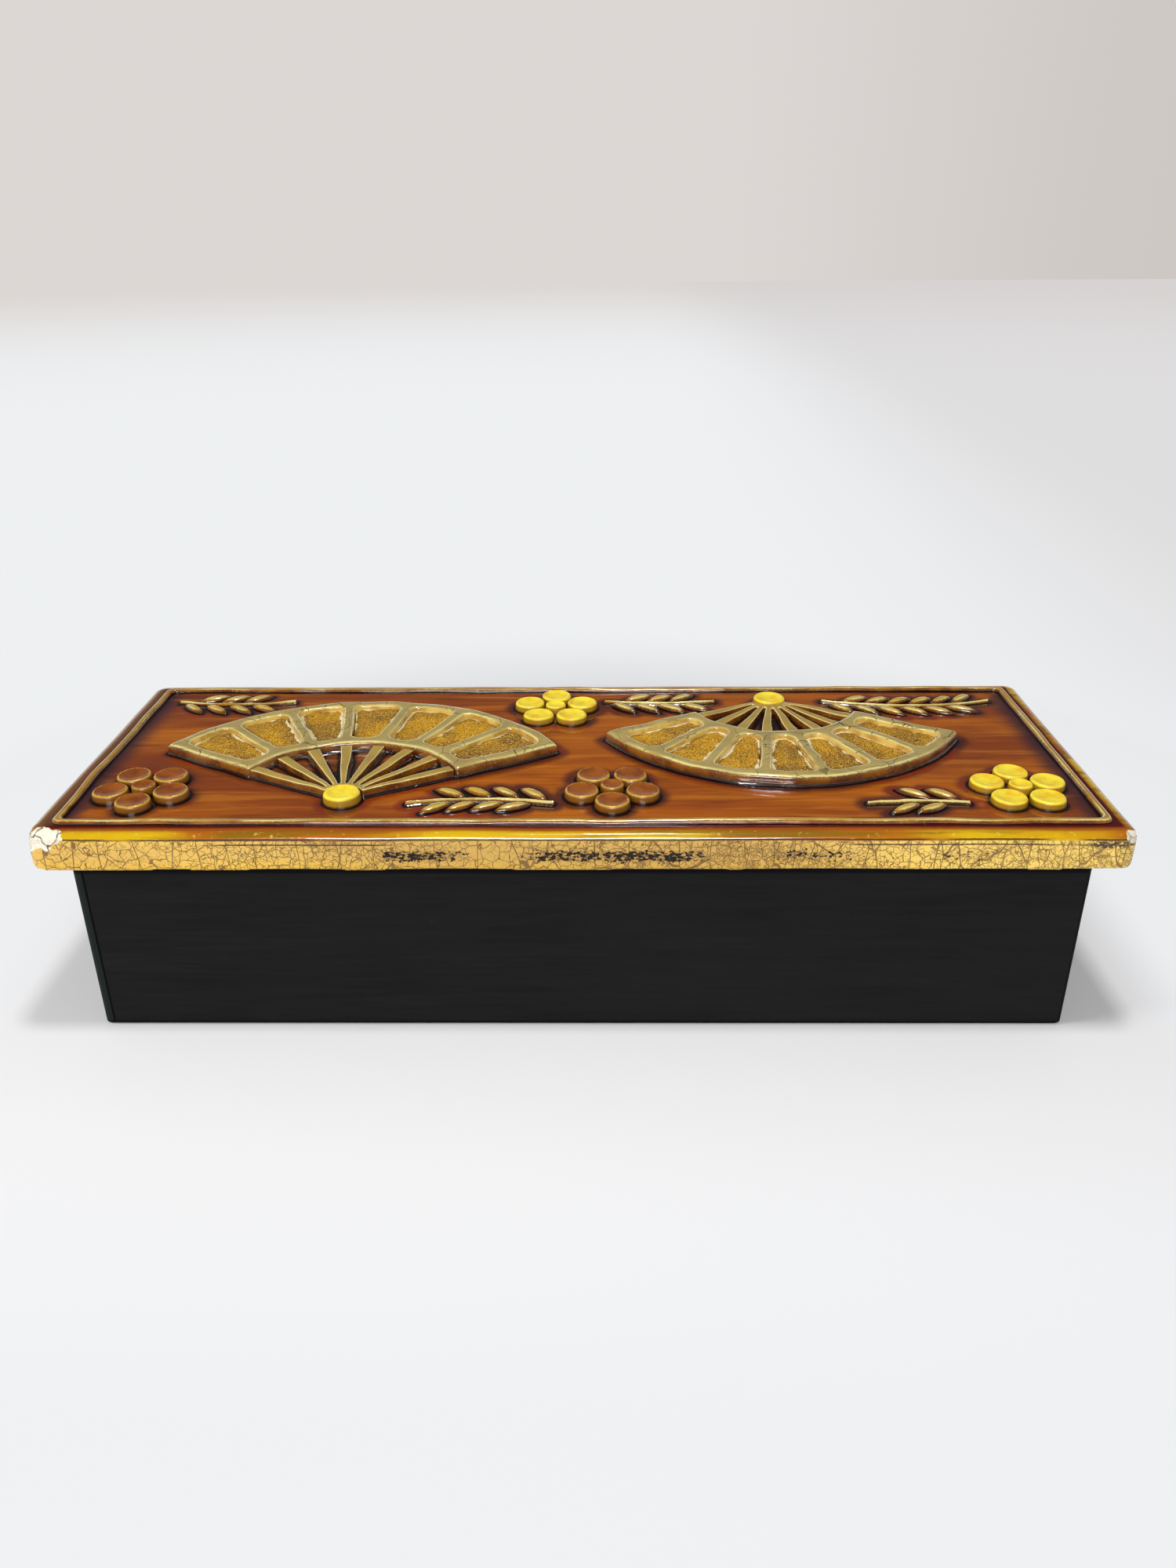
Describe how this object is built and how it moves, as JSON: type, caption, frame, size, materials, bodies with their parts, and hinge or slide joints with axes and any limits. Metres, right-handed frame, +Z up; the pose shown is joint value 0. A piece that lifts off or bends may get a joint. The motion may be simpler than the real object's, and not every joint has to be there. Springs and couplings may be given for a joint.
{
  "type": "lidded writing box with an ink set",
  "caption": "Long low black wooden box with an overhanging glazed relief tile for a lid, fitted inside for an ink stone, water dropper, ink stick and brushes.",
  "frame": {"origin": "middle of the box's foot, on the plane it stands on", "axes": "+X along the box to the right as seen from the front, -Y towards the front, +Z up"},
  "size_m": [0.3, 0.11, 0.0721],
  "materials": {
    "black_wood": "fine-grained wood under thin black paint, rubbed to a low sheen",
    "bare_wood": "bare planed pale wood, lightly waxed",
    "amber_glaze": "thick glossy amber-brown glaze, darker where it pools, with a crackled gold edge",
    "gold_lustre": "khaki-gold lustre glaze, glossy with fine cracks",
    "bright_gold": "bright yellow-gold glaze",
    "sanded_glaze": "grainy ochre glaze, rough as sand",
    "slate": "honed dark slate",
    "celadon": "pale grey-green glossy glaze",
    "pressed_ink": "moulded soot ink, satin black",
    "bamboo": "bare bamboo with darker joints",
    "horn": "polished dark horn",
    "hair": "pale goat hair drawn to a point"
  },
  "bodies": {
    "case": {"front_board": "black_wood", "back_board": "black_wood", "left_end_board": "black_wood", "right_end_board": "black_wood", "base_board": "bare_wood", "corner_tongues": "bare_wood", "fitting_board": "bare_wood"},
    "lid": {"amber_blossoms": "amber_glaze", "border_bead": "gold_lustre", "gold_blossoms": "bright_gold", "left_fan_leaf": "gold_lustre", "left_fan_panels": "sanded_glaze", "left_fan_rivet": "bright_gold", "left_fan_sticks": "gold_lustre", "lid_tile": "amber_glaze", "locating_board": "bare_wood", "right_fan_leaf": "gold_lustre", "right_fan_panels": "sanded_glaze", "right_fan_rivet": "bright_gold", "right_fan_sticks": "gold_lustre", "twig_leaves": "gold_lustre", "twigs": "gold_lustre"},
    "tray": {"brush_tray": "bare_wood", "brush_rests": "bare_wood"},
    "large_brush": {"large_brush_handle": "bamboo", "large_brush_collar": "horn", "large_brush_tuft": "hair"},
    "small_brush": {"small_brush_handle": "bamboo", "small_brush_collar": "horn", "small_brush_tuft": "hair"},
    "stone": {"ink_stone": "slate"},
    "dropper": {"water_dropper": "celadon"},
    "ink": {"ink_stick": "pressed_ink"}
  },
  "joints": [
    {"name": "lid_lift", "type": "slide", "parent": "case", "child": "lid", "axis": [0, 0, 1], "range_m": [0, 0.12]},
    {"name": "tray_lift", "type": "slide", "parent": "case", "child": "tray", "axis": [0, 0, 1], "range_m": [0, 0.02]},
    {"name": "large_brush_lift", "type": "slide", "parent": "tray", "child": "large_brush", "axis": [0, 0, 1], "range_m": [0, 0.009]},
    {"name": "small_brush_lift", "type": "slide", "parent": "tray", "child": "small_brush", "axis": [0, 0, 1], "range_m": [0, 0.009]},
    {"name": "stone_lift", "type": "slide", "parent": "case", "child": "stone", "axis": [0, 0, 1], "range_m": [0, 0.025]},
    {"name": "dropper_lift", "type": "slide", "parent": "case", "child": "dropper", "axis": [0, 0, 1], "range_m": [0, 0.022]},
    {"name": "ink_lift", "type": "slide", "parent": "case", "child": "ink", "axis": [0, 0, 1], "range_m": [0, 0.025]}
  ]
}
